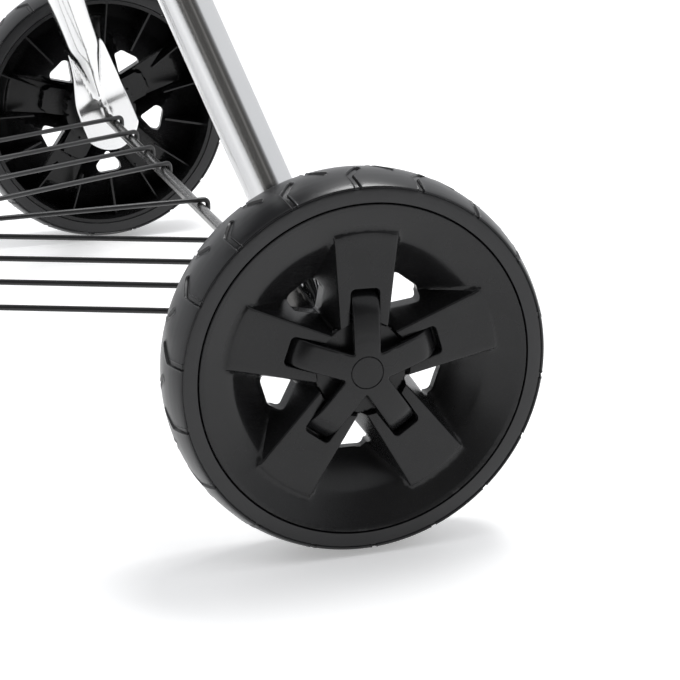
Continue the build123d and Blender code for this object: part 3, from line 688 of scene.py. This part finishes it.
def star(inset):
    """Outline of the five-armed cap."""
    corners, radii = [], []
    for i in range(SPOKES):
        turn = Matrix.Rotation(2 * pi * i / SPOKES, 2)
        middle = Matrix.Rotation(2 * pi * (i + 0.5) / SPOKES, 2)
        end, half = CAP_END - inset, CAP_HALF - inset
        notch = (CAP_NOTCH - inset) / sin(pi / SPOKES)
        corners += [tuple(turn @ Vector((end, -half))), tuple(turn @ Vector((end, half)))]
        corners.append(tuple(middle @ Vector((notch, 0))))
        radii += [2.2 - inset, 2.2 - inset, 0.8]
    return rounded(corners, radii, 0.6)


def cap_heights(points, outline):
    """Upper and lower face of the cap over each point."""
    radius = np.hypot(points[:, 0], points[:, 1])
    bend = CAP_DROP * np.clip((radius - CAP_BEND) / CAP_BEND_RUN, 0, 2) ** 2.2
    crown = CAP_CROWN - CAP_DOME * radius**2 - bend
    edge = np.clip(1 + depth_in(points, outline) / 0.7, 0, 1)
    groove = RING_GROOVE * np.clip(1 - np.abs(radius - RING_RADIUS) / RING_GROOVE, 0, 1)
    return crown - 0.6 * edge**2 - groove, np.minimum(crown - CAP_THICKNESS, CAP_UNDERSIDE)


def make_cap(name, side, finishes):
    sector = pi / SPOKES
    outline = star(0)

    def inside(points):
        angle = np.arctan2(points[:, 1], points[:, 0])
        return (angle > 0) & (angle < sector) & (depth_in(points, outline) < 0)

    paths = [run((0, 0), (CAP_END, 0), 0.9)]
    paths.append([(r * cos(sector), r * sin(sector)) for r in np.linspace(0, 14, 15)])
    paths += [arc(RING_RADIUS + offset, 0, sector, 0.6) for offset in (-RING_GROOVE, 0, RING_GROOVE)]
    for inset in (0.0, 0.25, 0.7):
        shape = star(inset)
        shape += shape[:1]
        paths.append([p for p in shape if -0.3 < atan2(p[1], p[0]) < sector + 0.3 and p[0] > 0])
    points, triangles = triangulate(paths, 1.0, inside, ((0, 0), (40, 12)))
    heights = np.c_[(points, *cap_heights(points, outline))]
    vertices, faces = slab(*unfolded(heights, triangles, SPOKES))
    replaced = [name.replace("_star", "")]
    return wheel_piece(name, side, vertices, faces, finishes, "wheel_plastic", replaced)


TYRE_ROWS = 18
FIRST_SLOT = 4.8  # degrees past a spoke
TYRE_RADIUS = 97.0
TREAD_PERIOD = 2 * pi * TYRE_RADIUS / TYRE_ROWS
PERIOD_START = -14.0  # along the tyre; one period from here holds both of its slots whole
SLOT_DEPTH, SLOT_BURR = 1.0, 0.2
# Profile from the bead over the sidewall, tread edge and shoulder to the crown: (radius, height)
TYRE_PROFILE = [(84.2, 18.2), (84.7, 19.0), (88.0, 19.1), (91.1, 19.0), (91.8, 18.7), (92.0, 19.25),
                (92.35, 19.5), (92.85, 19.3), (93.3, 18.6), (94.2, 16.4), (95.3, 12.8), (96.2, 8.8),
                (96.75, 4.8), (96.97, 2.0), (97.0, 0.0)]
# One slot: along the tyre, and up its profile from the tread's edge
TREAD_SLOT = [(0.0, -1.3), (0.6, 14.0), (-7.4, 24.0), (-9.2, 20.4), (-2.2, 11.6), (-3.0, -1.3)]


def tyre_table():
    """Profile from bead to bead, with the length run along it."""
    half = np.array(TYRE_PROFILE)
    table = np.concatenate([half, (half * (1, -1))[-2::-1]])
    return table, np.concatenate([[0], np.cumsum(np.hypot(*np.diff(table, axis=0).T))])


def tread_slots(offset):
    """Outlines of the two slots in one period of the tread, the inboard one half a period on."""
    _, lengths = tyre_table()
    edge = lengths[6]
    outer = rounded([(a, edge + s) for a, s in TREAD_SLOT], [0.4, 1.2, 0.8, 0.8, 1.0, 0.4], 0.7)
    outer = grown(outer, offset)
    inner = [(a + TREAD_PERIOD / 2, lengths[-1] - s) for a, s in outer]
    return outer, inner


def tyre_lift(points):
    """Height over the plain profile: slots sunk, their edges a little raised."""
    _, lengths = tyre_table()
    lift = np.zeros(len(points))
    for outline in tread_slots(0.0):
        depth = depth_in(points, outline)
        lift -= SLOT_DEPTH * np.clip(-depth / 0.5, 0, 1)
        lift += SLOT_BURR * np.clip(1 - np.abs(depth - 0.25) / 0.35, 0, 1)
    return lift * (points[:, 1] > lengths[4]) * (points[:, 1] < lengths[-5])


def tyre_sheet():
    """One period of the tread laid flat: distance along the tyre, and run along its profile."""
    _, lengths = tyre_table()
    left, right, far = PERIOD_START, PERIOD_START + TREAD_PERIOD, lengths[-1]

    def inside(points):
        x, s = points.T
        return (x > left) & (x < right) & (s > 0) & (s < far)

    levels = [*lengths[:10], lengths[len(TYRE_PROFILE) - 1], *lengths[-10:]]
    paths = [run((left, s), (right, s), 1.7) for s in levels]
    paths += [[(x, s) for s in np.linspace(0, far, 44)] for x in (left, right)]
    for offset in (0.6, 0.25, 0.0, -0.5):
        for outline in tread_slots(offset):
            paths.append(outline + outline[:1])
    return triangulate(paths, 1.7, inside, ((left, 0), (right, far)))


def tyre_section(points):
    """Radius and height of each point, with the slots sunk at right angles to the profile."""
    table, lengths = tyre_table()
    slope = np.gradient(table, lengths, axis=0)
    out = np.c_[-slope[:, 1], slope[:, 0]]
    out /= np.hypot(*out.T)[:, None]
    place = np.c_[[np.interp(points[:, 1], lengths, table[:, i]) for i in (0, 1)]].T
    lean = np.c_[[np.interp(points[:, 1], lengths, out[:, i]) for i in (0, 1)]].T
    return place + lean * tyre_lift(points)[:, None]


def bead_bridge(vertices, faces):
    """Faces that close the tyre between its two beads."""
    border = border_edges(faces)
    under = {tuple(np.round(vertices[a][:2], 1)): a for a in border[:, 0] if vertices[a][2] < 0}
    across = {a: under[tuple(np.round(vertices[a][:2], 1))] for a in border[:, 0] if vertices[a][2] > 0}
    return [(b, a, across[a], across[b]) for a, b in border.tolist() if a in across]


def make_tyre(name, side, finishes):
    points, triangles = tyre_sheet()
    place = tyre_section(points)
    vertices, faces = [], []
    for row in range(TYRE_ROWS):
        turn = points[:, 0] / TYRE_RADIUS + radians(FIRST_SLOT) + 2 * pi * row / TYRE_ROWS
        faces.append(triangles[:, ::-1] + len(points) * row)
        vertices.append(np.c_[place[:, 0] * np.cos(turn), place[:, 0] * np.sin(turn), place[:, 1]])
    vertices, faces = merged(np.concatenate(vertices), np.concatenate(faces))
    faces = faces.tolist() + bead_bridge(vertices, faces)
    replaced = [name.replace("_tread", "")]
    return wheel_piece(name, side, vertices, faces, finishes, "tyre_rubber", replaced, sharp=35)


def make_wheels(finishes):
    for side, name in ((-1, "left"), (1, "right")):
        make_rim(f"wheel_rim_shell_{name}", side, finishes)
        make_rim_back(f"wheel_rim_ribs_{name}", side, finishes)
        make_cap(f"hub_cap_star_{name}", side, finishes)
        make_tyre(f"tyre_tread_{name}", side, finishes)


# ------------------------------------------------------------------ rear legs
# Millimetres; rise is measured up from the axle.

AXLE_RISE = 97.0
LEG_Y, LEG_SETBACK, LEG_TOP_RISE = 277.4, 1.6, 408.0
REAR_LEAN = 0.491
PADDLE_Y, PADDLE_END, PADDLE_HALF, SHEET_HALF = 271.0, 22.5, 20.0, 1.5
SHEET_BLEND = 2.5  # how softly the round bulge runs out into the flat sheet; higher is sharper
# Pressed end: rise, half width towards the rack and away from it, half width and height of the round bulge
PRESSED = [(0, 20.0, 20.0, 0.3, 1.5), (12, 19.6, 19.6, 0.6, 1.55), (16, 19.2, 19.3, 1.7, 2.3),
           (20, 18.4, 18.9, 2.8, 3.1), (28, 16.6, 18.3, 4.9, 4.9), (36, 14.6, 17.3, 7.0, 7.0),
           (45, 13.5, 16.2, 9.3, 9.4), (52, 13.0, 15.4, 11.0, 11.3), (56, 12.8, 14.6, 12.0, 12.2),
           (59, 12.7, 13.0, 12.5, 12.6), (62, 12.7, 12.7, 12.7, 12.7), (500, 12.7, 12.7, 12.7, 12.7)]


def leg_outline(rise):
    """Section across a rear leg: a round bulge running out into a flat sheet, as (across, through)."""
    table = np.array(PRESSED)
    near, far, bulge, height = [np.interp(max(rise, 0), table[:, 0], column) for column in table.T[1:]]
    if rise < 0:
        near = far = min(PADDLE_HALF, sqrt(max(PADDLE_END**2 - rise**2, 0.01)))
    turn = np.linspace(0, pi, 33)
    across = -np.cos(turn) * np.where(turn < pi / 2, near, far)
    edge = np.where(across < 0, near, far) - np.abs(across)
    plate = SHEET_HALF * np.sqrt(1 - (1 - np.clip(edge / SHEET_HALF, 0, 1)) ** 2)
    crown = height * np.sqrt(np.clip(1 - (across / bulge) ** 2, 0, 1))
    thick = (plate**SHEET_BLEND + crown**SHEET_BLEND) ** (1 / SHEET_BLEND)
    return np.concatenate([np.c_[across, -thick], np.c_[across, thick][-2:0:-1]])


def leg_section(rise, side):
    """Ring of points round a rear leg at one rise."""
    axle_low, axle_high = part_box("axle")
    x0 = (axle_low.x + axle_high.x) / 2 / MM
    span = hypot(x0 + LEG_SETBACK, LEG_Y)
    lean = Vector((-REAR_LEAN * x0 / span, -side * REAR_LEAN * LEG_Y / span, 1))
    flat = step(rise, 12, 60)
    up = Vector((lean.x, 0, 1)).normalized()
    level = Vector((up.z, 0, -up.x))
    normal = Vector((0, 1, 0)).lerp(level.cross(lean).normalized() * -1, flat)
    in_line = side * (LEG_Y - abs(lean.y) * rise)
    y = in_line + (side * PADDLE_Y - in_line) * (1 - step(rise, 8, 26))
    middle = Vector((x0 + lean.x * rise + LEG_SETBACK * flat, y, AXLE_RISE + rise))
    return [tuple((middle + level * a + normal * b) * MM) for a, b in leg_outline(rise)]


def make_rear_leg(name, side, finishes):
    rises = [-PADDLE_END, *np.arange(-22, 0, 1.0), *np.arange(0, 66, 1.5), 70, LEG_TOP_RISE]
    rings = [leg_section(rise, side) for rise in rises]
    count = len(rings[0])
    faces = [tuple(range(count))[::-1], tuple(range((len(rings) - 1) * count, len(rings) * count))]
    for i in range(len(rings) - 1):
        for j in range(count):
            a, b = i * count + j, i * count + (j + 1) % count
            faces.append((a, b, b + count, a + count))
    vertices = [point for ring in rings for point in ring]
    finish = finishes["chrome_steel"]
    return piece(f"{name}_pressed", vertices, faces, finish, "stand", [name], "chrome_steel",
                 sharp=50, weighted=False)


def main():
    make_camera()
    make_world()
    area_light("key", KEY_PLACE, KEY_AIM, KEY_SIZE, KEY_WATTS)
    make_floor()
    finishes = make_materials()
    dress_nodes(finishes)
    make_wheels(finishes)
    make_rear_leg("rear_leg_left", -1, finishes)
    make_rear_leg("rear_leg_right", 1, finishes)


main()
